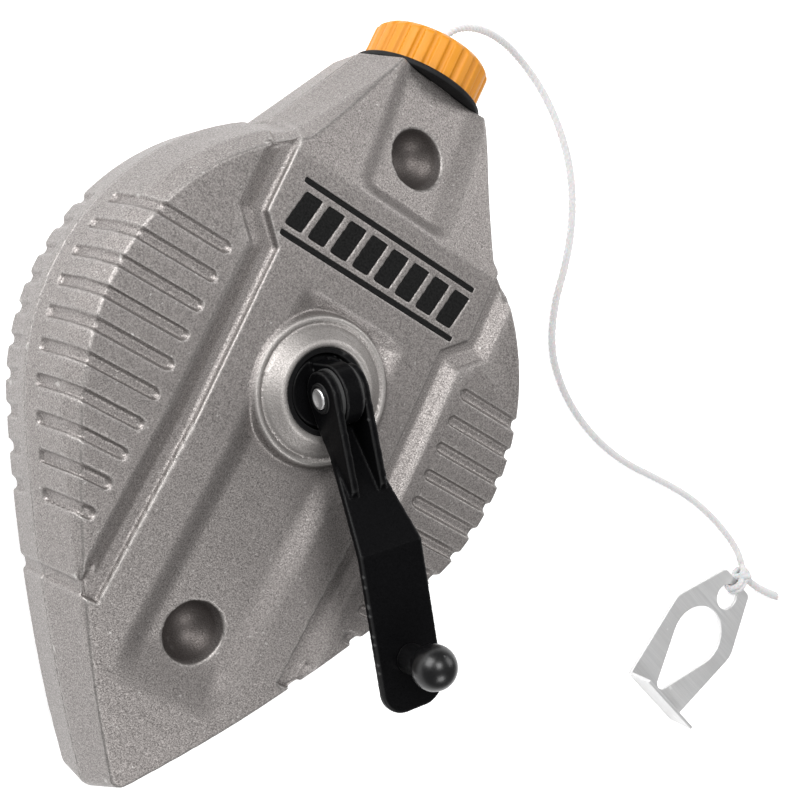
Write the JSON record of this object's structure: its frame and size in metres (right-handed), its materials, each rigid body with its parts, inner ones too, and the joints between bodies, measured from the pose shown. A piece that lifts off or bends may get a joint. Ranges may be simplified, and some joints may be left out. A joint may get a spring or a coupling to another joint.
{
  "type": "chalk line reel",
  "caption": "Die-cast chalk line reel with geared folding crank, ribbed screw cap, wound line and steel end hook.",
  "frame": {"origin": "on the spindle's axis, at the flat back face that the reel lies on", "axes": "+Z out through the front face and the crank, +Y along the case towards the cap, +X to the right"},
  "size_m": [0.2642, 0.2144, 0.0769],
  "materials": {
    "cast_shell": "sand-blasted casting",
    "steel": "zinc plated",
    "badge_black": "black enamel",
    "gasket_rubber": "moulded",
    "black_metal": "gloss black",
    "spool_plastic": "moulded",
    "line_cotton": "twisted",
    "knob_black": "polished",
    "cap_yellow": "moulded",
    "felt": "pressed felt",
    "stainless": "brushed"
  },
  "bodies": {
    "case": {"front_shell": "cast_shell", "back_shell": "cast_shell", "case_screws": "steel", "badge_inlay": "badge_black", "neck_gasket": "gasket_rubber", "hub_bushing": "black_metal", "spool_shaft": "steel", "spool_washer": "steel", "ring_gear": "steel", "ring_screws": "steel", "hidden_line": "line_cotton"},
    "spool": {"spool": "spool_plastic", "wound_line": "line_cotton", "sun_gear": "steel"},
    "crank": {"crank_hub": "black_metal", "carrier": "steel", "planet_pins": "steel", "friction_washers": "black_metal"},
    "planet_1": {"planet_gear_1": "steel"},
    "planet_2": {"planet_gear_2": "steel"},
    "planet_3": {"planet_gear_3": "steel"},
    "handle": {"crank_arm": "black_metal", "pivot_rivet": "steel", "knob_stud": "steel"},
    "knob": {"knob": "knob_black"},
    "line_end": {"line": "line_cotton", "line_knot": "line_cotton", "hook": "stainless"},
    "cap": {"outlet_cap": "cap_yellow", "felt_wiper": "felt"}
  },
  "joints": [
    {"name": "crank_spin", "type": "hinge", "parent": "case", "child": "crank", "pos_m": [0, 0, 0.0395], "axis": [0, 0, 1], "continuous": true},
    {"name": "handle_fold", "type": "hinge", "parent": "crank", "child": "handle", "pos_m": [0, 0, 0.05], "axis": [-0.7716, -0.6361, 0], "range_deg": [0, 164]},
    {"name": "knob_spin", "type": "hinge", "parent": "handle", "child": "knob", "pos_m": [0.03753, -0.04553, 0.068], "axis": [0, 0, 1], "continuous": true},
    {"name": "spool_spin", "type": "hinge", "parent": "case", "child": "spool", "pos_m": [0, 0, 0.016], "axis": [0, 0, 1], "continuous": true},
    {"name": "planet_spin_1", "type": "hinge", "parent": "crank", "child": "planet_1", "pos_m": [0.01002, -0.01215, 0.0315], "axis": [0, 0, 1], "continuous": true},
    {"name": "planet_spin_2", "type": "hinge", "parent": "crank", "child": "planet_2", "pos_m": [0.00552, 0.01475, 0.0315], "axis": [0, 0, 1], "continuous": true},
    {"name": "planet_spin_3", "type": "hinge", "parent": "crank", "child": "planet_3", "pos_m": [-0.01553, -0.0026, 0.0315], "axis": [0, 0, 1], "continuous": true},
    {"name": "cap_lift", "type": "slide", "parent": "case", "child": "line_end", "axis": [0, 1, 0], "range_m": [0, 0.014]},
    {"name": "cap_turn", "type": "hinge", "parent": "line_end", "child": "cap", "pos_m": [0, 0.086, 0.021], "axis": [0, 1, 0], "range_deg": [0, 1261]}
  ],
  "couplings": [
    {"joint": "spool_spin", "follows": "crank_spin", "ratio": 3},
    {"joint": "planet_spin_1", "follows": "crank_spin", "ratio": -4},
    {"joint": "planet_spin_2", "follows": "crank_spin", "ratio": -4},
    {"joint": "planet_spin_3", "follows": "crank_spin", "ratio": -4},
    {"joint": "cap_turn", "follows": "cap_lift", "rad_per_m": 1570.8}
  ]
}
